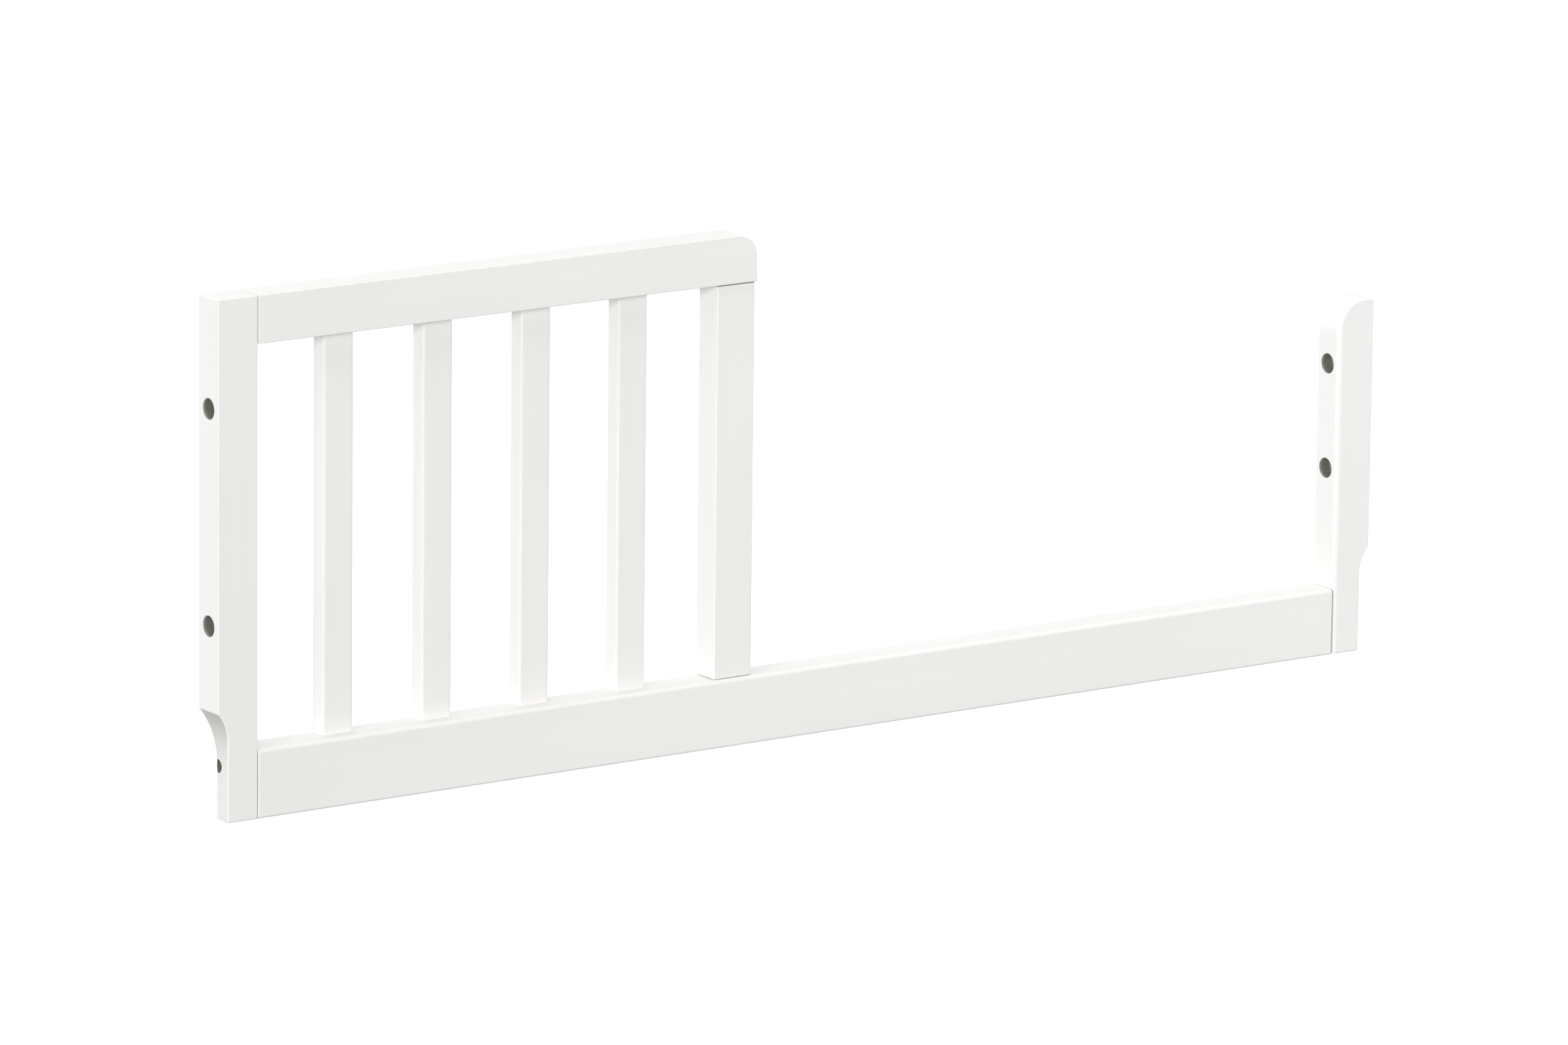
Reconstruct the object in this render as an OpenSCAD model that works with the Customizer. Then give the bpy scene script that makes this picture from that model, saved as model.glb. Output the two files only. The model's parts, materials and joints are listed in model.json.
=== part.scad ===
// Guard rail that turns a crib into a toddler bed.
// The part stands on the lower edge of its bottom rail. The origin is at the middle of the
// footprint, +X runs along the rail to the short post, the front faces -Y, and +Z is up.

/* [Overall size] */
// Length over both end posts
overall_length = 1335; // [1200:5:1500]
// Height of the tall post and of the top rail
overall_height = 495; // [440:5:600]
// Thickness of posts and rails, front to back
frame_depth = 35; // [32:1:45]

/* [Posts] */
// Width of each post, seen from the front
post_width = 43; // [40:1:60]
// Height of the short post
short_post_height = 354; // [320:2:400]
// Radius of the short post's inner top corner
short_post_corner = 32; // [10:1:36]
// How far the centre post sits behind the front of the rails
centre_post_setback = 4; // [0:1:8]
// Rounding along the long edges of the posts
post_edge = 2; // [1:0.5:4]
// Rounding along the inner edges of the short post
entry_edge = 6; // [2:0.5:8]

/* [Foot relief] */
// Height at which the hollow in the outer face of each end post begins
relief_height = 104.5; // [90:0.5:120]
// How far each foot is set in from the outer face
relief_depth = 10.5; // [6:0.5:14]
// Radius of the hollow
relief_radius = 38.5; // [25:0.5:60]
// Rounding of the foot's outer back edge
foot_back_radius = 22; // [4:1:24]
// Height of that rounding, below its run-out
foot_back_height = 60; // [30:1:70]

/* [Rails] */
// Height of the top rail
top_rail_height = 46; // [40:1:60]
// Height of the bottom rail
bottom_rail_height = 66; // [60:1:90]
// Length of the guarded part, from the tall post's outer face to the centre post's far face
guard_length = 599; // [520:1:720]
// Radius of the top rail's free corner
top_rail_corner = 22; // [5:1:30]
// Rounding along the top rail
top_rail_edge = 3; // [1:0.5:6]
// Rounding along the top edges of the bottom rail
bottom_rail_edge = 4; // [1:0.5:6]
// Bevel along each front joint line
joint_bevel = 1.2; // [0.5:0.1:2]

/* [Slats] */
// Width of a slat
slat_width = 33; // [28:1:40]
// Thickness of a slat
slat_thickness = 19; // [14:1:22]
// How far the slats sit in front of the back face
slat_back_gap = 1; // [0:0.5:4]
// How far the row of slats is moved towards the centre post
slat_row_shift = 4.5; // [0:0.5:8]
// Rounding along the edges of a slat
slat_edge = 2.5; // [1:0.5:4]
// Length of the tenon at each end of a slat
tenon_length = 12; // [8:1:16]
// Shoulder round each tenon
tenon_shoulder = 5; // [3:0.5:6]
// Clearance round a tenon in its mortise
tenon_clearance = 0.15; // [0.1:0.05:0.3]

/* [Dowels] */
// Diameter of the joint dowels
dowel_d = 10; // [8:1:12]
// Length of the joint dowels
dowel_length = 38; // [32:1:44]
// How deep a dowel sits in the side of a post or rail
dowel_sink = 16; // [12:1:18]
// Radial clearance round a dowel
dowel_clearance = 0.1; // [0.05:0.05:0.2]
// Distance of each dowel from the edge of the piece that it enters end-on
dowel_margin = 11; // [10:0.5:14]

/* [Bolt holes] */
// Diameter of the through holes for the bed bolts
bolt_hole_d = 8.5; // [6.5:0.5:10]
// Diameter of the counterbore at both ends of each bolt hole
counterbore_d = 20; // [16:0.5:24]
// Depth of each counterbore
counterbore_depth = 13; // [8:0.5:15]
// Height of the lower bolt hole in both end posts
lower_bolt_height = 185; // [160:1:220]
// Distance from the tall post's top down to its upper bolt hole
tall_bolt_drop = 105; // [80:1:150]
// Distance from the short post's top down to its upper bolt hole
short_bolt_drop = 64; // [50:1:80]
// Diameter of the locating hole in each foot
locating_hole_d = 13; // [8:0.5:14]
// Depth of the locating hole
locating_hole_depth = 12; // [6:0.5:13]
// Height of the locating hole
locating_hole_height = 51; // [40:1:56]

/* [Hidden] */
$fn = 96;
slat_count = 4;
// Space left beyond the end of every dowel and tenon
end_gap = 1;
// How far a cutting tool reaches past the surface that it cuts
over = 5;

left = -overall_length / 2;
right = overall_length / 2;
front = -frame_depth / 2;
back = frame_depth / 2;

tall_inner = left + post_width;
short_inner = right - post_width;
centre_right = left + guard_length;
centre_left = centre_right - post_width;
centre_front = front + centre_post_setback;
centre_middle_y = (centre_front + back) / 2;

top_rail_underside = overall_height - top_rail_height;
tall_bolt_height = overall_height - tall_bolt_drop;
short_bolt_height = short_post_height - short_bolt_drop;

slat_back = back - slat_back_gap;
slat_middle_y = slat_back - slat_thickness / 2;
slat_clear = centre_left - tall_inner - slat_count * slat_width;
slat_gap = slat_clear / (slat_count + 1);
slat_pitch = slat_gap + slat_width;
first_slat = tall_inner + slat_gap + slat_row_shift;

dowel_hole_d = dowel_d + 2 * dowel_clearance;

// ---- Outlines -------------------------------------------------------------------------

// The piece of a corner that a rounding of radius r takes away, with the corner at the
// origin and the material towards +X +Y.
module corner_waste(r) {
    difference() {
        translate([-over, -over]) square(r + over);
        translate([r, r]) circle(r);
    }
}

// A rectangle from low to high whose four corners have the radii
// [low x low y, high x low y, high x high y, low x high y]. A radius of 0 stays square.
module rounded_rectangle(low, high, radii) {
    difference() {
        translate(low) square(high - low);
        if (radii[0] > 0) translate(low) corner_waste(radii[0]);
        if (radii[1] > 0) translate([high[0], low[1]]) mirror([1, 0]) corner_waste(radii[1]);
        if (radii[2] > 0) translate(high) rotate(180) corner_waste(radii[2]);
        if (radii[3] > 0) translate([low[0], high[1]]) mirror([0, 1]) corner_waste(radii[3]);
    }
}

// ---- Solids made from one outline -------------------------------------------------------

// Extrudes an outline drawn in Y and Z along X.
module along_x(x0, x1) {
    translate([x0, 0, 0]) rotate([90, 0, 90]) linear_extrude(height = x1 - x0) children();
}

// Extrudes an outline drawn in X and Z along Y, from the front tool limit to the back one.
module along_y() {
    translate([0, back + over, 0]) rotate([90, 0, 0])
        linear_extrude(height = frame_depth + 2 * over) children();
}

// Takes a bevel off the front vertical edge at x; side is +1 for material on its +X side.
module joint_bevel_cut(x, side, y = front) {
    translate([x, y, -over]) linear_extrude(height = overall_height + 2 * over)
        polygon([[-side * over, -over], [side * joint_bevel, -over], [side * joint_bevel, 0],
                 [0, joint_bevel], [-side * over, joint_bevel]]);
}

// ---- Holes ------------------------------------------------------------------------------

module hole_along_x(x0, x1, y, z, d) {
    translate([x0, y, z]) rotate([0, 90, 0]) cylinder(d = d, h = x1 - x0);
}

module hole_along_z(x, y, z0, z1, d) {
    translate([x, y, z0]) cylinder(d = d, h = z1 - z0);
}

// A bolt hole through an end post, with a counterbore in each face.
module bolt_hole(outer, inner, z) {
    low = min(outer, inner);
    high = max(outer, inner);
    hole_along_x(low - over, high + over, 0, z, bolt_hole_d);
    hole_along_x(low - over, low + counterbore_depth, 0, z, counterbore_d);
    hole_along_x(high - counterbore_depth, high + over, 0, z, counterbore_d);
}

// ---- Dowels and their holes -------------------------------------------------------------

// Heights of the two dowels in a rail that ends on a post.
function rail_dowel_heights(z0, z1) = [z0 + dowel_margin, z1 - dowel_margin];
// Places of the two dowels across the centre post's end.
function centre_dowel_places() = [centre_left + dowel_margin, centre_right - dowel_margin];

// Two dowels along X across the joint at x; rail_side is +1 if the rail lies on its +X side.
module dowels_along_x(x, rail_side, heights) {
    x0 = x - rail_side * dowel_sink;
    x1 = x0 + rail_side * dowel_length;
    for (z = heights) hole_along_x(min(x0, x1), max(x0, x1), 0, z, dowel_d);
}

module dowel_holes_along_x(x, rail_side, heights) {
    x0 = x - rail_side * (dowel_sink + end_gap);
    x1 = x0 + rail_side * (dowel_length + 2 * end_gap);
    for (z = heights) hole_along_x(min(x0, x1), max(x0, x1), 0, z, dowel_hole_d);
}

// Two upright dowels across the joint at z; post_side is +1 if the centre post is above it.
module dowels_along_z(z, post_side) {
    z0 = z - post_side * dowel_sink;
    z1 = z0 + post_side * dowel_length;
    for (x = centre_dowel_places())
        hole_along_z(x, centre_middle_y, min(z0, z1), max(z0, z1), dowel_d);
}

module dowel_holes_along_z(z, post_side) {
    z0 = z - post_side * (dowel_sink + end_gap);
    z1 = z0 + post_side * (dowel_length + 2 * end_gap);
    for (x = centre_dowel_places())
        hole_along_z(x, centre_middle_y, min(z0, z1), max(z0, z1), dowel_hole_d);
}

// ---- Posts ------------------------------------------------------------------------------

// What the foot relief takes from a post whose outer face is at X = 0 and whose material
// lies towards +X: a hollow across the whole depth, then a rounded back edge with a
// hollow run-out.
module foot_relief() {
    drop = relief_height - relief_radius * sqrt(1 - pow(1 - relief_depth / relief_radius, 2));
    along_y() {
        translate([relief_depth - relief_radius, drop]) circle(relief_radius);
        translate([relief_depth - relief_radius, -over])
            square([relief_radius, drop + over]);
    }
    intersection() {
        translate([relief_depth, back, -over]) mirror([0, 1, 0])
            linear_extrude(height = relief_height + over) corner_waste(foot_back_radius);
        along_x(-over, relief_depth + foot_back_radius) {
            translate([back - foot_back_radius + relief_radius, foot_back_height])
                circle(relief_radius);
            translate([front, -over]) square([frame_depth + over, foot_back_height + over]);
        }
    }
}

// A straight post; edges are the plan roundings [outer front, inner front, inner back,
// outer back] of a post whose outer side is towards -X.
module post_blank(x0, x1, y0, z0, z1, edges) {
    translate([0, 0, z0]) linear_extrude(height = z1 - z0)
        rounded_rectangle([x0, y0], [x1, back], edges);
}

module left_post() {
    color("white") difference() {
        post_blank(left, tall_inner, front, 0, overall_height,
                   [post_edge, 0, post_edge, post_edge]);
        joint_bevel_cut(tall_inner, -1);
        translate([left, 0, 0]) foot_relief();
        bolt_hole(left, tall_inner, tall_bolt_height);
        bolt_hole(left, tall_inner, lower_bolt_height);
        hole_along_x(left, left + relief_depth + locating_hole_depth, 0,
                     locating_hole_height, locating_hole_d);
        dowel_holes_along_x(tall_inner, 1, rail_dowel_heights(0, bottom_rail_height));
        dowel_holes_along_x(tall_inner, 1,
                            rail_dowel_heights(top_rail_underside, overall_height));
    }
}

module right_post() {
    color("white") difference() {
        intersection() {
            post_blank(short_inner, right, front, 0, short_post_height,
                       [entry_edge, post_edge, post_edge, entry_edge]);
            along_y() rounded_rectangle([short_inner, 0], [right, short_post_height],
                                        [0, 0, post_edge, short_post_corner]);
        }
        translate([right, 0, 0]) mirror([1, 0, 0]) foot_relief();
        bolt_hole(right, short_inner, short_bolt_height);
        bolt_hole(right, short_inner, lower_bolt_height);
        hole_along_x(right - relief_depth - locating_hole_depth, right, 0,
                     locating_hole_height, locating_hole_d);
        dowel_holes_along_x(short_inner, -1, rail_dowel_heights(0, bottom_rail_height));
    }
}

module centre_post() {
    color("white") difference() {
        post_blank(centre_left, centre_right, centre_front, bottom_rail_height,
                   top_rail_underside, [post_edge, post_edge, post_edge, post_edge]);
        dowel_holes_along_z(bottom_rail_height, 1);
        dowel_holes_along_z(top_rail_underside, -1);
    }
}

// ---- Rails ------------------------------------------------------------------------------

// Mortises for all slats, from z0 to z1.
module mortises(z0, z1) {
    grow = [tenon_clearance, tenon_clearance];
    for (i = [0 : slat_count - 1])
        translate([0, 0, z0]) linear_extrude(height = z1 - z0)
            rounded_rectangle(tenon_low(i) - grow, tenon_high(i) + grow, [0, 0, 0, 0]);
}

module top_rail() {
    e = top_rail_edge;
    color("white") difference() {
        intersection() {
            along_x(tall_inner, centre_right)
                rounded_rectangle([front, top_rail_underside], [back, overall_height],
                                  [e, e, e, e]);
            along_y() rounded_rectangle([tall_inner, top_rail_underside],
                                        [centre_right, overall_height],
                                        [0, 0, top_rail_corner, 0]);
        }
        joint_bevel_cut(tall_inner, 1);
        mortises(top_rail_underside - over, top_rail_underside + tenon_length + end_gap);
        dowel_holes_along_x(tall_inner, 1,
                            rail_dowel_heights(top_rail_underside, overall_height));
        dowel_holes_along_z(top_rail_underside, -1);
    }
}

module bottom_rail() {
    e = bottom_rail_edge;
    color("white") difference() {
        along_x(tall_inner, short_inner)
            rounded_rectangle([front, 0], [back, bottom_rail_height],
                              [post_edge, post_edge, e, e]);
        joint_bevel_cut(tall_inner, 1);
        joint_bevel_cut(short_inner, -1);
        mortises(bottom_rail_height - tenon_length - end_gap, bottom_rail_height + over);
        dowel_holes_along_x(tall_inner, 1, rail_dowel_heights(0, bottom_rail_height));
        dowel_holes_along_x(short_inner, -1, rail_dowel_heights(0, bottom_rail_height));
        dowel_holes_along_z(bottom_rail_height, 1);
    }
}

// ---- Slats ------------------------------------------------------------------------------

function slat_left(i) = first_slat + i * slat_pitch;
function tenon_low(i) = [slat_left(i) + tenon_shoulder, slat_back - slat_thickness + tenon_shoulder];
function tenon_high(i) = [slat_left(i) + slat_width - tenon_shoulder, slat_back - tenon_shoulder];

module slat(i) {
    e = slat_edge;
    color("white") {
        translate([0, 0, bottom_rail_height])
            linear_extrude(height = top_rail_underside - bottom_rail_height)
                rounded_rectangle([slat_left(i), slat_back - slat_thickness],
                                  [slat_left(i) + slat_width, slat_back], [e, e, e, e]);
        translate([0, 0, bottom_rail_height - tenon_length])
            linear_extrude(height = top_rail_underside - bottom_rail_height + 2 * tenon_length)
                rounded_rectangle(tenon_low(i), tenon_high(i), [0, 0, 0, 0]);
    }
}

// ---- Joint dowels -----------------------------------------------------------------------

module dowels_top_rail_to_left_post() {
    color("burlywood")
        dowels_along_x(tall_inner, 1, rail_dowel_heights(top_rail_underside, overall_height));
}

module dowels_bottom_rail_to_left_post() {
    color("burlywood") dowels_along_x(tall_inner, 1, rail_dowel_heights(0, bottom_rail_height));
}

module dowels_bottom_rail_to_right_post() {
    color("burlywood")
        dowels_along_x(short_inner, -1, rail_dowel_heights(0, bottom_rail_height));
}

module dowels_top_rail_to_centre_post() {
    color("burlywood") dowels_along_z(top_rail_underside, -1);
}

module dowels_bottom_rail_to_centre_post() {
    color("burlywood") dowels_along_z(bottom_rail_height, 1);
}

left_post();
right_post();
centre_post();
top_rail();
bottom_rail();
slat(0);  // slat_1
slat(1);  // slat_2
slat(2);  // slat_3
slat(3);  // slat_4
dowels_top_rail_to_left_post();
dowels_bottom_rail_to_left_post();
dowels_bottom_rail_to_right_post();
dowels_top_rail_to_centre_post();
dowels_bottom_rail_to_centre_post();
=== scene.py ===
"""Looks for a white painted guard rail that turns a crib into a toddler bed.

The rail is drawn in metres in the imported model's own frame: +X runs along the rail to the short
post, the front faces -Y, +Z is up, and the rail stands on Z = 0.
"""

import json
import math

import bmesh
import bpy
from mathutils import Matrix, Vector


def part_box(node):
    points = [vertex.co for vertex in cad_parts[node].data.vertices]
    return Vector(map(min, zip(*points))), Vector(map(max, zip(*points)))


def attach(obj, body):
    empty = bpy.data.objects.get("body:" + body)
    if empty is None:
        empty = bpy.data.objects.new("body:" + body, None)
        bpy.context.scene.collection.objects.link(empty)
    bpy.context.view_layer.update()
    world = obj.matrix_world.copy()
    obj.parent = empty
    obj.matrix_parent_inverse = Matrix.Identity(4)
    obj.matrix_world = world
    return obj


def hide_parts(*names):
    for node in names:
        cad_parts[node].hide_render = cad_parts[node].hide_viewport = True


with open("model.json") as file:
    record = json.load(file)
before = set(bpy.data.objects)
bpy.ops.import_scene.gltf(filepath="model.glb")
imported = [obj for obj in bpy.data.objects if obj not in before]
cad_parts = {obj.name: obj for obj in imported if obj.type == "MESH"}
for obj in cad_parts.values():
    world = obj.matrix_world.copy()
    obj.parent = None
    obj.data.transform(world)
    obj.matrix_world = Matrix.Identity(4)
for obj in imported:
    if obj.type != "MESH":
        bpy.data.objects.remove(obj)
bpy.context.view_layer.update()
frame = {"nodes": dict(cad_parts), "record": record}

MM = 0.001
BODY = "root"

# ---- Sizes, in metres -----------------------------------------------------------------------

POST_ROUND = 1.3 * MM  # long edges of the tall post and the centre post
ENTRY_ROUND = 6.0 * MM  # edges of the short post, which a child climbs past
TOP_RAIL_ROUND = 1.2 * MM
TOP_RAIL_CORNER = 22 * MM
BOTTOM_RAIL_ROUND = 4.0 * MM
BOTTOM_RAIL_UNDER_ROUND = 2.0 * MM
SHORT_POST_CORNER = 32 * MM
SLAT_ROUND = 2.5 * MM
TENON_LENGTH = 12 * MM
TENON_SHOULDER = 5 * MM
JOINT_EASE = 2.0 * MM  # rounding of every end that meets another piece

RELIEF_HEIGHT = 104.5 * MM  # top of the hollow over a foot
RELIEF_DEPTH = 10.5 * MM  # how far a foot's outer face is set in
RELIEF_RADIUS = 38.5 * MM
HOLLOW_ANGLE = math.degrees(math.acos(1 - RELIEF_DEPTH / RELIEF_RADIUS))
HOLLOW_CENTRE = RELIEF_HEIGHT - RELIEF_RADIUS * math.sin(math.radians(HOLLOW_ANGLE))
FOOT_BACK_RADIUS = 22 * MM
FOOT_BACK_HEIGHT = 55 * MM  # where the rounding of a foot's back edge starts to shrink

COUNTERBORE_RADIUS = 10 * MM
COUNTERBORE_DEPTH = 13 * MM
RIM_EASE = 0.8 * MM
LOCATING_HOLE_DEPTH = 12 * MM
DOWEL_CLEARANCE = 0.1 * MM
END_GAP = 1 * MM
MORTISE_CLEARANCE = 0.15 * MM
PAINTED_DEPTH = 3.0 * MM  # how far paint reaches into a bolt hole

CORNER_ROUND = 1.2 * MM  # edges of an end post that run from its front to its back
SHARP = math.radians(25)  # edges bent by less than this stay unrounded
SHADE_SPLIT = math.radians(50)  # edges bent by more than this are shaded as hard
OVER = 4 * MM  # how far a cutter reaches past the surface that it cuts
SAME = 1e-6  # points closer than this are in the same place
MERGE = 1e-7
ROUND_STEPS = 5
BROAD_ROUND_STEPS = 6
NARROW_ROUND_STEPS = 4
RIM_STEPS = 6
HOLE_STEPS = 72
ARC_STEPS = 20

mounts = {m["name"]: m for m in frame["record"]["mounts"]}


# ---- Outlines and solids ----------------------------------------------------------------------


def arc(centre, radius, start, end, steps=ARC_STEPS):
    """Points (x, z) on an arc from start to end, in degrees from +X towards +Z."""
    turn = [math.radians(start + (end - start) * i / steps) for i in range(steps + 1)]
    return [(centre[0] + radius * math.cos(a), centre[1] + radius * math.sin(a)) for a in turn]


def prism(outline, front, back):
    """A solid whose front view is the outline, from Y = front to Y = back."""
    bm = bmesh.new()
    face = bm.faces.new([bm.verts.new((x, front, z)) for x, z in outline])
    swept = bmesh.ops.extrude_face_region(bm, geom=[face])["geom"]
    moved = [v for v in swept if isinstance(v, bmesh.types.BMVert)]
    bmesh.ops.translate(bm, verts=moved, vec=(0, back - front, 0))
    bmesh.ops.recalc_face_normals(bm, faces=bm.faces)
    return bm


def block(low, high):
    """A rectangular solid between two corners."""
    bm = bmesh.new()
    size = Vector(high) - Vector(low)
    place = Matrix.Translation(Vector(low) + size / 2) @ Matrix.Diagonal((*size, 1))
    bmesh.ops.create_cube(bm, size=1, matrix=place)
    return bm


def round_edges(bm, edges, radius, segments=NARROW_ROUND_STEPS):
    """Rounds the given edges to a radius."""
    bmesh.ops.bevel(bm, geom=edges, offset=radius, offset_type="OFFSET", affect="EDGES",
                    segments=segments, profile=0.5, material=-1, clamp_overlap=False)


def round_by_size(bm, size_of, largest):
    """Rounds each edge to the radius, up to largest, that size_of gives for it. The bmesh is
    used up, and a new one comes back."""
    layer = bm.edges.layers.float.new("bevel_weight_edge")
    for edge in bm.edges:
        edge[layer] = size_of(edge) / largest
    piece = loose_object("blank", bm)
    step = piece.modifiers.new("round", "BEVEL")
    step.limit_method = "WEIGHT"
    step.width = largest
    step.segments = ROUND_STEPS
    step.profile = 0.5
    step.use_clamp_overlap = False
    return applied(piece)


def edges_in_plane(bm, axis, place):
    """The edges that lie wholly in the plane where coordinate axis equals place."""
    return [e for e in bm.edges if all(abs(v.co[axis] - place) < SAME for v in e.verts)]


def edges_along(bm, axis, keep=lambda middle: True):
    """The edges that run along one axis and whose middle passes the test keep."""
    found = []
    for e in bm.edges:
        run = e.verts[1].co - e.verts[0].co
        straight = abs(run[axis]) > 0.999 * run.length
        if straight and keep((e.verts[0].co + e.verts[1].co) / 2):
            found.append(e)
    return found


def lathe(profile, y, z):
    """A solid of revolution about the line along X at (y, z), from (x, radius) points."""
    bm = bmesh.new()
    ring = [bm.verts.new((x, y + r, z)) for x, r in profile]
    line = [bm.edges.new(pair) for pair in zip(ring, ring[1:])]
    bmesh.ops.spin(bm, geom=ring + line, cent=(0, y, z), axis=(1, 0, 0),
                   angle=2 * math.pi, steps=HOLE_STEPS, use_merge=True)
    bmesh.ops.remove_doubles(bm, verts=bm.verts, dist=MERGE)
    bmesh.ops.recalc_face_normals(bm, faces=bm.faces)
    return bm


def rod(start, end, radius):
    """A plain cylinder between two points."""
    bm = bmesh.new()
    start, end = Vector(start), Vector(end)
    run = end - start
    turn = run.to_track_quat("Z", "Y").to_matrix().to_4x4()
    place = Matrix.Translation((start + end) / 2) @ turn
    bmesh.ops.create_cone(bm, cap_ends=True, segments=HOLE_STEPS // 2, radius1=radius,
                          radius2=radius, depth=run.length, matrix=place)
    return bm


def loose_object(name, bm):
    """Puts a bmesh into the scene as an object at the origin."""
    mesh = bpy.data.meshes.new(name)
    bm.to_mesh(mesh)
    bm.free()
    made = bpy.data.objects.new(name, mesh)
    bpy.context.scene.collection.objects.link(made)
    return made


def discard(piece):
    """Removes an object and its mesh."""
    mesh = piece.data
    bpy.data.objects.remove(piece)
    bpy.data.meshes.remove(mesh)


def applied(piece):
    """Applies an object's modifiers and gives its shape as a bmesh. The object is used up."""
    result = bpy.context.evaluated_depsgraph_get()
    result.update()
    shape = bmesh.new()
    shape.from_object(piece, result)
    discard(piece)
    return shape


def combined(bm, operation, tool):
    """A Boolean of two solids, which are both used up."""
    piece, helper = loose_object("blank", bm), loose_object("tool", tool)
    step = piece.modifiers.new("work", "BOOLEAN")
    step.operation = operation
    step.solver = "EXACT"
    step.object = helper
    shape = applied(piece)
    discard(helper)
    return shape


def finished(name, bm, node, material, cutters=()):
    """Makes a piece that stands for a CAD node: cuts its holes, shades it and hands it over."""
    for cutter in cutters:
        bm = combined(bm, "DIFFERENCE", cutter)
    piece = loose_object(name, bm)
    mesh = piece.data
    mesh.materials.clear()
    mesh.materials.append(material)
    mesh.shade_smooth()
    mesh.set_sharp_from_angle(angle=SHADE_SPLIT)
    weight = piece.modifiers.new("flat faces stay flat", "WEIGHTED_NORMAL")
    weight.keep_sharp = True
    weight.mode = "FACE_AREA"
    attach(piece, BODY)
    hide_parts(node)
    return piece


# ---- Cutters for holes ------------------------------------------------------------------------


def eased_mouth(face, inward, radius):
    """Profile points of a round mouth at X = face with an eased rim; inward is +1 or -1."""
    mouth = [(face - inward * OVER, radius + RIM_EASE)]
    for i in range(RIM_STEPS + 1):
        turn = math.pi / 2 * i / RIM_STEPS
        depth = RIM_EASE * (1 - math.cos(turn))
        mouth.append((face + inward * depth, radius + RIM_EASE * (1 - math.sin(turn))))
    return mouth


def bolt_hole(low_x, high_x, height, bolt_radius):
    """A bolt hole through a post, with a counterbore in each face."""
    near = eased_mouth(low_x, 1, COUNTERBORE_RADIUS)
    far = eased_mouth(high_x, -1, COUNTERBORE_RADIUS)
    near_floor = low_x + COUNTERBORE_DEPTH
    far_floor = high_x - COUNTERBORE_DEPTH
    middle = [(near_floor, COUNTERBORE_RADIUS), (near_floor, bolt_radius),
              (far_floor, bolt_radius), (far_floor, COUNTERBORE_RADIUS)]
    start, end = (low_x - OVER, 0.0), (high_x + OVER, 0.0)
    return lathe([start, *near, *middle, *far[::-1], end], 0.0, height)


def bolt_heights(node):
    """Heights of the two bolt holes of an end post."""
    mount = mounts[node + "_bolts"]
    half_spacing = mount["dims"]["spacing_y_mm"] * MM / 2
    return mount["pos_m"][2] - half_spacing, mount["pos_m"][2] + half_spacing


def bolt_holes(node):
    """Cutters for the bolt holes of an end post."""
    low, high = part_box(node)
    radius = mounts[node + "_bolts"]["dims"]["hole_r_mm"] * MM
    return [bolt_hole(low.x, high.x, z, radius) for z in bolt_heights(node)]


def locating_hole(face, inward, mount_name):
    """Cutter for the blind hole in a foot, whose set-in face is at X = face."""
    mount = mounts[mount_name]
    radius = mount["dims"]["r_mm"] * MM
    floor = face + inward * LOCATING_HOLE_DEPTH
    profile = [(face - inward * 2 * OVER, 0.0), (face - inward * 2 * OVER, radius),
               (floor, radius), (floor, 0.0)]
    return lathe(profile, 0.0, mount["pos_m"][2])


def dowel_holes(node, axis):
    """Cutters for the holes of a group of two dowels that lie along an axis, 0 for X or 2 for Z."""
    low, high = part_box(node)
    across = 2 - axis
    radius = (high.y - low.y) / 2
    middle_y = (low.y + high.y) / 2
    holes = []
    for place in (low[across] + radius, high[across] - radius):
        ends = []
        for reach in (low[axis] - END_GAP, high[axis] + END_GAP):
            point = Vector((0, middle_y, 0))
            point[axis] = reach
            point[across] = place
            ends.append(point)
        holes.append(rod(*ends, radius + DOWEL_CLEARANCE))
    return holes


def mortises(low_z, high_z):
    """Cutters for the slats' mortises in a rail."""
    holes = []
    for slat in slat_nodes:
        low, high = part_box(slat)
        side = TENON_SHOULDER - MORTISE_CLEARANCE
        holes.append(block((low.x + side, low.y + side, low_z),
                           (high.x - side, high.y - side, high_z)))
    return holes


# ---- Posts ------------------------------------------------------------------------------------


def post_outline(low, high, corner):
    """Front view of an end post whose outer face is at low X, from its foot round to its base.
    The inner top corner has the radius corner, or stays square if that is 0."""
    foot = low.x + RELIEF_DEPTH
    hollow = arc((foot - RELIEF_RADIUS, HOLLOW_CENTRE), RELIEF_RADIUS, 0, HOLLOW_ANGLE)
    points = [(high.x, low.z), (foot, low.z), *hollow, (low.x, high.z)]
    if corner:
        return points + arc((high.x - corner, high.z - corner), corner, 90, 0)
    return points + [(high.x, high.z)]


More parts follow.
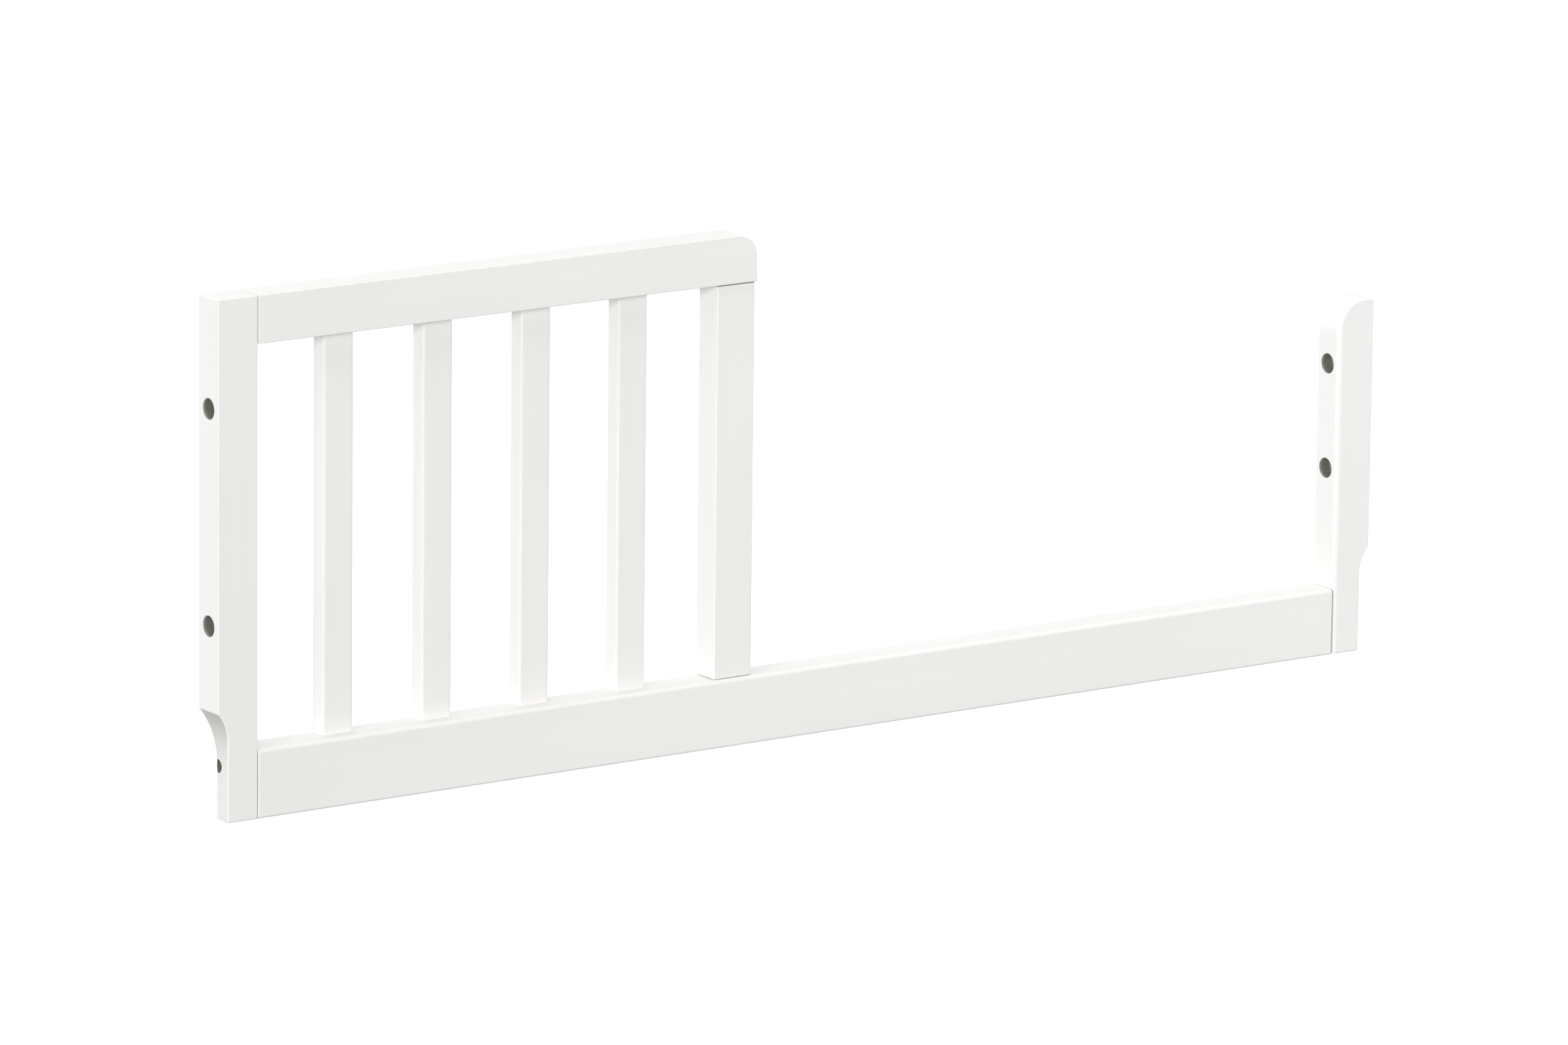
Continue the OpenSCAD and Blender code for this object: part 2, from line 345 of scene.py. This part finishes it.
def foot_back_cutter(outer, back):
    """Cutter that rounds a foot's outer back edge, for a post whose outer face is at X = outer.
    The rounding shrinks to nothing where the hollow above the foot runs out."""
    foot = outer + RELIEF_DEPTH
    bm = bmesh.new()
    caps = []
    heights = [RELIEF_HEIGHT - (RELIEF_HEIGHT - FOOT_BACK_HEIGHT) * i / ARC_STEPS
               for i in range(ARC_STEPS, -1, -1)]
    for z in [-OVER, *heights]:
        climb = max(z - HOLLOW_CENTRE, 0)
        x = foot - (RELIEF_RADIUS - math.sqrt(RELIEF_RADIUS**2 - climb**2))
        share = max(z - FOOT_BACK_HEIGHT, 0) / (RELIEF_HEIGHT - FOOT_BACK_HEIGHT)
        radius = FOOT_BACK_RADIUS * max((1 + math.cos(math.pi * share)) / 2, 0.01)
        ring = [(x - OVER, back + OVER), (x - OVER, back - radius)]
        ring += arc((x + radius, back - radius), radius, 180, 90)
        ring.append((x + radius, back + OVER))
        if not caps:
            caps.append(bm.faces.new([bm.verts.new((*point, z)) for point in ring]))
            continue
        swept = bmesh.ops.extrude_face_region(bm, geom=[caps[-1]])["geom"]
        caps.append(next(f for f in swept if isinstance(f, bmesh.types.BMFace)))
        for vert, point in zip(caps[-1].verts, ring):
            vert.co = (*point, z)
    bmesh.ops.delete(bm, geom=caps[1:-1], context="FACES_ONLY")
    bmesh.ops.recalc_face_normals(bm, faces=bm.faces)
    return bm


def end_post(name, node, mirrored, corner, size_at, cutters):
    """An end post. It is shaped with its outer side at low X, and mirrored if it is the far one.
    size_at gives the rounding of the edges round its front and back for a point on them."""
    low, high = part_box(node)
    if mirrored:
        low.x, high.x = -high.x, -low.x
    bm = prism(post_outline(low, high, corner), low.y, high.y)

    def size_of(edge):
        start, end = (v.co for v in edge.verts)
        if abs(start.y - end.y) < SAME:
            return size_at((start + end) / 2)
        return CORNER_ROUND if edge.calc_face_angle() > SHARP else 0

    bm = round_by_size(bm, size_of, ENTRY_ROUND)
    foot_cutter = foot_back_cutter(low.x, high.y)
    if mirrored:
        for part in (bm, foot_cutter):
            bmesh.ops.scale(part, vec=(-1, 1, 1), verts=part.verts)
            bmesh.ops.recalc_face_normals(part, faces=part.faces)
    return finished(name, bm, node, paint_for_post(node), [foot_cutter, *cutters])


def left_post():
    low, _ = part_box("left_post")
    cutters = bolt_holes("left_post")
    cutters.append(locating_hole(low.x + RELIEF_DEPTH, 1, "left_foot_hole"))
    cutters += dowel_holes("dowels_top_rail_to_left_post", 0)
    cutters += dowel_holes("dowels_bottom_rail_to_left_post", 0)
    return end_post("tall_post", "left_post", False, 0, lambda at: POST_ROUND, cutters)


def right_post():
    low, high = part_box("right_post")
    arc_start = high.z - SHORT_POST_CORNER

    def entry_size(at):
        """Broad beside the child, and finer round the corner to the top."""
        climb = min(max((at.z - arc_start) / SHORT_POST_CORNER, 0), 1)
        beside_child = at.x > -low.x - SHORT_POST_CORNER and (climb > 0 or at.x > -low.x - MM)
        return POST_ROUND + (ENTRY_ROUND - POST_ROUND) * beside_child * (1 - climb) ** 1.5

    cutters = bolt_holes("right_post")
    cutters.append(locating_hole(high.x - RELIEF_DEPTH, -1, "right_foot_hole"))
    cutters += dowel_holes("dowels_bottom_rail_to_right_post", 0)
    return end_post("short_post", "right_post", True, SHORT_POST_CORNER, entry_size, cutters)


def centre_post():
    low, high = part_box("centre_post")
    bm = block(low, high)
    round_edges(bm, edges_along(bm, 2), POST_ROUND)
    for end in (low.z, high.z):
        round_edges(bm, edges_in_plane(bm, 2, end), JOINT_EASE)
    cutters = dowel_holes("dowels_top_rail_to_centre_post", 2)
    cutters += dowel_holes("dowels_bottom_rail_to_centre_post", 2)
    return finished("middle_post", bm, "centre_post", paint_for("centre_post", 2), cutters)


# ---- Rails and slats --------------------------------------------------------------------------


def top_rail():
    low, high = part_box("top_rail")
    corner = arc((high.x - TOP_RAIL_CORNER, high.z - TOP_RAIL_CORNER), TOP_RAIL_CORNER, 0, 90)
    bm = prism([(low.x, low.z), (high.x, low.z), *corner, (low.x, high.z)], low.y, high.y)
    loops = []
    for face_y in (low.y, high.y):
        loops += [e for e in edges_in_plane(bm, 1, face_y)
                  if max(v.co.x for v in e.verts) > low.x + SAME]
    round_edges(bm, loops, TOP_RAIL_ROUND)
    round_edges(bm, edges_in_plane(bm, 0, low.x), JOINT_EASE)
    cutters = dowel_holes("dowels_top_rail_to_left_post", 0)
    cutters += dowel_holes("dowels_top_rail_to_centre_post", 2)
    cutters += mortises(low.z - OVER, low.z + TENON_LENGTH + END_GAP)
    return finished("guard_top_rail", bm, "top_rail", paint_for("top_rail", 0), cutters)


def bottom_rail():
    low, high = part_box("bottom_rail")
    middle = (low.z + high.z) / 2
    bm = block(low, high)
    upper = edges_along(bm, 0, lambda at: at.z > middle)
    round_edges(bm, upper, BOTTOM_RAIL_ROUND, BROAD_ROUND_STEPS)
    under = edges_along(bm, 0, lambda at: at.z < low.z + SAME)
    round_edges(bm, under, BOTTOM_RAIL_UNDER_ROUND)
    for end in (low.x, high.x):
        round_edges(bm, edges_in_plane(bm, 0, end), JOINT_EASE)
    cutters = dowel_holes("dowels_bottom_rail_to_left_post", 0)
    cutters += dowel_holes("dowels_bottom_rail_to_right_post", 0)
    cutters += dowel_holes("dowels_bottom_rail_to_centre_post", 2)
    cutters += mortises(high.z - TENON_LENGTH - END_GAP, high.z + OVER)
    return finished("long_bottom_rail", bm, "bottom_rail", paint_for("bottom_rail", 0), cutters)


def slat(node):
    low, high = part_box(node)
    bm = block((low.x, low.y, low.z + TENON_LENGTH), (high.x, high.y, high.z - TENON_LENGTH))
    round_edges(bm, edges_along(bm, 2), SLAT_ROUND)
    side = TENON_SHOULDER
    tenon = block((low.x + side, low.y + side, low.z), (high.x - side, high.y - side, high.z))
    return finished(node + "_board", combined(bm, "UNION", tenon), node, paint_for(node, 2))


# ---- Shader maths -----------------------------------------------------------------------------


class Wire:
    """A number inside a material. Python's operators add the Math nodes."""

    def __init__(self, finish, socket):
        self.finish = finish
        self.socket = socket

    def maths(self, operation, *values):
        settings = {"operation": operation}
        return self.finish.node("ShaderNodeMath", settings, dict(enumerate(values)))["Value"]

    def __add__(self, other):
        return self.maths("ADD", self, other)

    def __sub__(self, other):
        return self.maths("SUBTRACT", self, other)

    def __rsub__(self, other):
        return self.maths("SUBTRACT", other, self)

    def __mul__(self, other):
        return self.maths("MULTIPLY", self, other)

    def __gt__(self, other):
        return self.maths("GREATER_THAN", self, other)

    def __lt__(self, other):
        return self.maths("LESS_THAN", self, other)

    def __abs__(self):
        return self.maths("ABSOLUTE", self)

    def power(self, exponent):
        return self.maths("POWER", self, exponent)

    def most(self, other):
        return self.maths("MAXIMUM", self, other)

    def fade(self, start, end):
        """1 at start and beyond, falling or rising smoothly to 0 at end."""
        settings = {"interpolation_type": "SMOOTHSTEP"}
        values = {"Value": self, "From Min": end, "From Max": start}
        return self.finish.node("ShaderNodeMapRange", settings, values)["Result"]

    __radd__ = __add__
    __rmul__ = __mul__


class Nodes:
    """A node tree while it is being built."""

    def __init__(self, tree):
        self.tree = tree

    def node(self, kind, settings=None, values=None):
        """Adds a node and returns its outputs by name. Settings are set first, then sockets."""
        made = self.tree.nodes.new(kind)
        for key, value in (settings or {}).items():
            setattr(made, key, value)
        for key, value in (values or {}).items():
            self.feed(made.inputs[key], value)
        return {s.name: Wire(self, s) for s in made.outputs if s.enabled}

    def feed(self, socket, value):
        """Links a wire to a socket, or sets a plain value on it."""
        if isinstance(value, Wire):
            self.tree.links.new(value.socket, socket)
        else:
            socket.default_value = value

    def axes(self, place):
        """A point's or a direction's X, Y and Z as separate numbers."""
        parts = self.node("ShaderNodeSeparateXYZ", None, {"Vector": place})
        return parts["X"], parts["Y"], parts["Z"]


class Finish(Nodes):
    """A material while it is being built."""

    def __init__(self, name, **constants):
        self.material = bpy.data.materials.new(name)
        self.material.use_nodes = True
        super().__init__(self.material.node_tree)
        self.shader = self.tree.nodes["Principled BSDF"]
        for key, value in constants.items():
            self.shader.inputs[key.replace("_", " ")].default_value = value

    def put(self, name, wire):
        """Feeds one of the surface shader's own sockets."""
        self.feed(self.shader.inputs[name], wire)

    def place(self):
        """The point on the piece, in metres."""
        return self.node("ShaderNodeTexCoord")["Object"]

    def noise(self, repeats, detail=2.0, roughness=0.5):
        """Noise, with the number of repeats per metre given for X, Y and Z."""
        spread = self.node("ShaderNodeMapping", {"vector_type": "POINT"},
                           {"Vector": self.place(), "Scale": repeats})["Vector"]
        values = {"Vector": spread, "Scale": 1.0, "Detail": detail, "Roughness": roughness}
        made = self.node("ShaderNodeTexNoise", {"noise_dimensions": "3D"}, values)
        return made["Fac"]

    def blend(self, share, colour_a, colour_b):
        """Colour a where share is 0, colour b where it is 1."""
        values = {0: share, 6: colour_a, 7: colour_b}  # the sockets that colours use
        return self.node("ShaderNodeMix", {"data_type": "RGBA"}, values)["Result"]

    def bump(self, height, distance, strength, under=None):
        """A bump from a height between 0 and 1; distance is the height's size in metres."""
        values = {"Height": height, "Distance": distance, "Strength": strength}
        if under is not None:
            values["Normal"] = under
        return self.node("ShaderNodeBump", None, values)["Normal"]


# ---- Materials --------------------------------------------------------------------------------

PAINT_LIGHT = (0.848, 0.840, 0.824, 1)
PAINT_SHADE = (0.826, 0.818, 0.802, 1)
PAINT_ROUGHNESS = 0.50
# painted shade along the joints where the rails and the centre post end
SEAM_PAINTED_SHADE = (0.36, 0.35, 0.32, 1)
SEAM_PAINTED_SHADE_WIDTH = 0.9 * MM
UNDER_RAIL_PAINTED_SHADOW = (0.20, 0.19, 0.16, 1)  # painted shadow on the centre post's front just under the top rail
UNDER_RAIL_SHADOW_WIDTH = 1.75 * MM  # most of it is behind the rail's lower edge
HOLLOW_PAINTED_SHADE = (0.55, 0.545, 0.52, 1)  # painted shade in the hollow over a foot
HOLLOW_SHADE_FROM = RELIEF_HEIGHT - 8 * MM
HOLLOW_SHADE_TO = 45 * MM
# grey painted shade on the wall of a bolt hole, from about a millimetre inside its mouth
HOLE_MOUTH_PAINTED_SHADE = (0.420, 0.420, 0.395, 1)
HOLE_MOUTH_SHADE_DEPTH = 1.2 * MM
# bare wood inside the holes, in a dark grey that also paints in the shade there
BARE_SHADED_DARK = (0.225, 0.228, 0.195, 1)
BARE_SHADED_LIGHT = (0.285, 0.288, 0.245, 1)
BEECH_LIGHT = (0.62, 0.43, 0.26, 1)
BEECH_DARK = (0.50, 0.32, 0.18, 1)
BEECH_FLECK = (0.36, 0.21, 0.11, 1)
FLOOR_LIGHT = (0.965, 0.965, 0.965, 1)
FLOOR_SHADE = (0.955, 0.955, 0.955, 1)

# Repeats of each pattern per metre, and the heights of the bumps.
GRAIN_ALONG, GRAIN_ACROSS = 7.0, 420.0
BROAD_ALONG, BROAD_ACROSS = 1.75, 35.0
CLOUD_REPEATS = (4.0, 4.0, 4.0)
PEEL_REPEATS = (900.0, 900.0, 900.0)
FIBRE_REPEATS = (900.0, 900.0, 250.0)
BEECH_REPEATS = (60.0, 900.0, 900.0)
FLECK_REPEATS = (500.0, 1800.0, 1800.0)
FLOOR_REPEATS = (2.0, 2.0, 2.0)
GRAIN_HEIGHT = 0.12 * MM
PEEL_HEIGHT = 0.03 * MM
BEECH_HEIGHT = 0.1 * MM


def ends_of(node):
    """Joint planes (axis, place) at which a rail or the centre post ends; a slat gets none."""
    if node == "top_rail":
        return [(0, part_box(node)[0].x)]
    if node == "bottom_rail":
        return [(0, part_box(node)[0].x), (0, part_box(node)[1].x)]
    if node == "centre_post":
        return [(2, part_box(node)[0].z), (2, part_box(node)[1].z)]
    return []


def satin_paint(name, node, grain_axis):
    """White satin paint over wood whose grain runs along an axis, 0 for X or 2 for Z.
    Returns the finish, and its colour and roughness before they are put on the surface."""
    paint = Finish(name, IOR=1.48, Specular_IOR_Level=0.3)
    fine = [GRAIN_ALONG if i == grain_axis else GRAIN_ACROSS for i in range(3)]
    wide = [BROAD_ALONG if i == grain_axis else BROAD_ACROSS for i in range(3)]
    grain = paint.noise(fine, 3.0, 0.6)
    broad = paint.noise(wide, 2.0)
    cloud = paint.noise(CLOUD_REPEATS, 3.0)
    peel = paint.noise(PEEL_REPEATS, 1.5)
    share = (cloud * 0.6 + broad * 0.4).fade(0.68, 0.32)
    colour = paint.blend(share, PAINT_LIGHT, PAINT_SHADE)
    coords = paint.axes(paint.place())
    # painted shade in the crease at each joint, darkest at the joint plane
    for axis, place in ends_of(node):
        near = abs(coords[axis] - place).fade(0.0, SEAM_PAINTED_SHADE_WIDTH)
        colour = paint.blend(near * 0.85, colour, SEAM_PAINTED_SHADE)
    roughness = PAINT_ROUGHNESS + (cloud - 0.5) * 0.10 + (peel - 0.5) * 0.05
    surface = paint.bump(grain * 0.7 + broad * 0.3, GRAIN_HEIGHT, 0.35)
    surface = paint.bump(peel, PEEL_HEIGHT, 0.30, surface)
    paint.put("Normal", surface)
    return paint, colour, roughness


def paint_for(node, grain_axis):
    """The paint of a rail, a slat or the centre post."""
    paint, colour, roughness = satin_paint("satin_white_" + node, node, grain_axis)
    if node == "centre_post":
        low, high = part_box(node)
        _, y, z = paint.axes(paint.place())
        # painted shadow on the front of the post's top, just under the top rail
        under_rail_shadow = (high.z - z < UNDER_RAIL_SHADOW_WIDTH) * (y < low.y + POST_ROUND * 0.8)
        colour = paint.blend(under_rail_shadow * 0.95, colour, UNDER_RAIL_PAINTED_SHADOW)
    paint.put("Base Color", colour)
    paint.put("Roughness", roughness)
    return paint.material


def paint_for_post(node):
    """The paint of an end post, with painted shade over the set-in face of the foot. The paint
    stops a few millimetres inside the bolt holes, and the hole walls and the bare wood in them
    carry painted shade."""
    paint, colour, roughness = satin_paint("satin_white_" + node, node, 2)
    low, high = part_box(node)
    x, y, z = paint.axes(paint.place())
    depth = (high.x - low.x) / 2 - abs(x - (low.x + high.x) / 2)
    side = "left" if node == "left_post" else "right"

    # painted shade over the set-in face of the foot, darkest near the top of the hollow
    outer = x - low.x if side == "left" else high.x - x
    set_in = (outer > 0.8 * MM) * outer.fade(RELIEF_DEPTH, RELIEF_DEPTH + 20 * MM)
    set_in = set_in * (y > low.y + POST_ROUND) * (y < high.y - POST_ROUND) * (z < RELIEF_HEIGHT)
    hollow_shade = set_in * (z.fade(HOLLOW_SHADE_FROM, HOLLOW_SHADE_TO) * 0.7 + 0.2)
    colour = paint.blend(hollow_shade, colour, HOLLOW_PAINTED_SHADE)

    in_hole = None
    for height in bolt_heights(node):
        off_axis = (y * y + (z - height) * (z - height)).power(0.5)
        here = off_axis < COUNTERBORE_RADIUS + 0.3 * MM
        in_hole = here if in_hole is None else in_hole.most(here)
    # painted shade on the painted wall inside each bolt hole's mouth
    hole_mouth_shade = in_hole * depth.fade(HOLE_MOUTH_SHADE_DEPTH, 0.3 * MM)
    bare = in_hole * depth.fade(PAINTED_DEPTH + 0.4 * MM, PAINTED_DEPTH - 0.4 * MM)
    foot_hole = mounts[side + "_foot_hole"]
    rise = z - foot_hole["pos_m"][2]
    in_foot_hole = (y * y + rise * rise).power(0.5) < foot_hole["dims"]["r_mm"] * MM + 0.1 * MM
    bare = bare.most(in_foot_hole * depth.fade(RELIEF_DEPTH + 1.0 * MM, RELIEF_DEPTH + 0.2 * MM))
    # unpainted wood in the holes, darkened and greyed as painted shade
    fibre = paint.noise(FIBRE_REPEATS, 3.0)
    wood = paint.blend(fibre.fade(0.65, 0.35), BARE_SHADED_DARK, BARE_SHADED_LIGHT)
    colour = paint.blend(bare, paint.blend(hole_mouth_shade, colour, HOLE_MOUTH_PAINTED_SHADE), wood)
    paint.put("Base Color", colour)
    paint.put("Roughness", roughness + bare * 0.5)
    return paint.material


def beech():
    """Bare beech for the joint dowels."""
    wood = Finish("bare_beech", IOR=1.45)
    grain = wood.noise(BEECH_REPEATS, 4.0, 0.6)
    fleck = wood.noise(FLECK_REPEATS, 2.0)
    colour = wood.blend(grain.fade(0.7, 0.3), BEECH_LIGHT, BEECH_DARK)
    colour = wood.blend(fleck.fade(0.75, 0.62) * 0.4, colour, BEECH_FLECK)
    wood.put("Base Color", colour)
    wood.put("Roughness", 0.55 + (grain - 0.5) * 0.15)
    wood.put("Normal", wood.bump(grain, BEECH_HEIGHT, 0.4))
    return wood.material


def pale_floor():
    """A plain, matt, pale floor with a faint glow that softens shadows on it."""
    floor = Finish("pale_floor", Roughness=0.9, Specular_IOR_Level=0.1,
                   Emission_Color=(1, 1, 1, 1), Emission_Strength=0.2)
    cloud = floor.noise(FLOOR_REPEATS, 2.0)
    floor.put("Base Color", floor.blend(cloud.fade(0.7, 0.3), FLOOR_LIGHT, FLOOR_SHADE))
    return floor.material


# ---- Stage, light and camera ------------------------------------------------------------------

FLOOR_SIZE = 60.0
WALL_TOP_LOW = math.sin(math.radians(18))  # where the white walls begin to fade upwards
WALL_TOP_HIGH = math.sin(math.radians(32))
FLOOR_EDGE = -0.04
CEILING = 0.15
WALLS = 0.90
FLOOR_GLOW = 0.45  # what the floor gives back to the rail

# Far softboxes: the direction they are in, their strength, and their spread in degrees.
FAR_SOFTBOXES = {
    "overhead_softbox": ((-0.10, 0.05, 1.0), 1.97, 70),
    "key_softbox": ((-0.91, -0.41, 0.135), 1.69, 13),
    "side_softbox": ((0.80, 0.45, 0.60), 0.30, 60),
    "back_softbox": ((0.10, 0.97, 0.12), 0.90, 50),
}
FRONT_PLACE = Vector((1.8, -4.5, 1.55))  # near the short post, so the front pales towards it
FRONT_WATTS = 62.0
FRONT_WIDTH = 1.3

AIM = Vector((-0.0229, 0.0, 0.2067))
CAMERA_DISTANCE = 10.94
CAMERA_TURN = 34.737
CAMERA_RISE = 12.657
CAMERA_ROLL = 0.632
LENS_MM = 263.6
SENSOR_MM = 36.0
FAR_CLIP = 200


def lay_floor():
    bm = bmesh.new()
    bmesh.ops.create_grid(bm, x_segments=1, y_segments=1, size=FLOOR_SIZE / 2)
    floor = loose_object("floor", bm)
    floor.data.materials.append(pale_floor())
    floor.visible_diffuse = False
    floor.visible_glossy = False


def sunlight(name, towards, strength, spread):
    """An even light from far away in the direction towards, spread over an angle in degrees."""
    lamp = bpy.data.lights.new(name, "SUN")
    lamp.energy = strength
    lamp.angle = math.radians(spread)
    made = bpy.data.objects.new(name, lamp)
    made.rotation_euler = Vector(towards).to_track_quat("Z", "Y").to_euler()
    bpy.context.scene.collection.objects.link(made)


def softbox(name, place, aim, watts, width):
    """A square light near the rail, which the camera doesn't see."""
    lamp = bpy.data.lights.new(name, "AREA")
    lamp.energy = watts
    lamp.size = width
    made = bpy.data.objects.new(name, lamp)
    made.location = place
    made.rotation_euler = (place - aim).to_track_quat("Z", "Y").to_euler()
    made.visible_camera = False
    bpy.context.scene.collection.objects.link(made)


def light_studio():
    """White walls under a dim ceiling and over a dim floor, with soft lights from all sides."""
    world = bpy.data.worlds.new("studio")
    world.use_nodes = True
    bpy.context.scene.world = world
    room = Nodes(world.node_tree)
    _, _, height = room.axes(room.node("ShaderNodeTexCoord")["Generated"])
    above_floor = height.fade(0.0, FLOOR_EDGE)
    below_ceiling = height.fade(WALL_TOP_LOW, WALL_TOP_HIGH)
    strength = below_ceiling * (above_floor * (WALLS - FLOOR_GLOW) + FLOOR_GLOW - CEILING)
    background = world.node_tree.nodes["Background"]
    room.feed(background.inputs["Strength"], strength + CEILING)
    room.feed(background.inputs["Color"], (1, 1, 1, 1))
    for name, (towards, strength, spread) in FAR_SOFTBOXES.items():
        sunlight(name, towards, strength, spread)
    softbox("front_softbox", FRONT_PLACE, AIM, FRONT_WATTS, FRONT_WIDTH)
    bpy.context.scene.view_settings.view_transform = "Standard"


def set_camera():
    turn, rise = math.radians(CAMERA_TURN), math.radians(CAMERA_RISE)
    back = Vector((-math.sin(turn) * math.cos(rise), -math.cos(turn) * math.cos(rise),
                   math.sin(rise)))
    lens = bpy.data.cameras.new("view")
    lens.lens = LENS_MM
    lens.sensor_width = SENSOR_MM
    lens.clip_end = FAR_CLIP
    camera = bpy.data.objects.new("view", lens)
    facing = (-back).to_track_quat("-Z", "Y").to_matrix().to_4x4()
    roll = Matrix.Rotation(math.radians(CAMERA_ROLL), 4, "Z")
    camera.matrix_world = Matrix.Translation(AIM + back * CAMERA_DISTANCE) @ facing @ roll
    bpy.context.scene.collection.objects.link(camera)
    bpy.context.scene.camera = camera


# ---- Making -----------------------------------------------------------------------------------

slat_nodes = sorted(n for n in frame["nodes"] if n.startswith("slat_"))
dowel_nodes = sorted(n for n in frame["nodes"] if n.startswith("dowels_"))

set_camera()
light_studio()
lay_floor()

left_post()
right_post()
centre_post()
top_rail()
bottom_rail()
for slat_node in slat_nodes:
    slat(slat_node)

dowel_wood = beech()
for dowel_node in dowel_nodes:
    dowels = frame["nodes"][dowel_node]
    dowels.data.materials.clear()
    dowels.data.materials.append(dowel_wood)
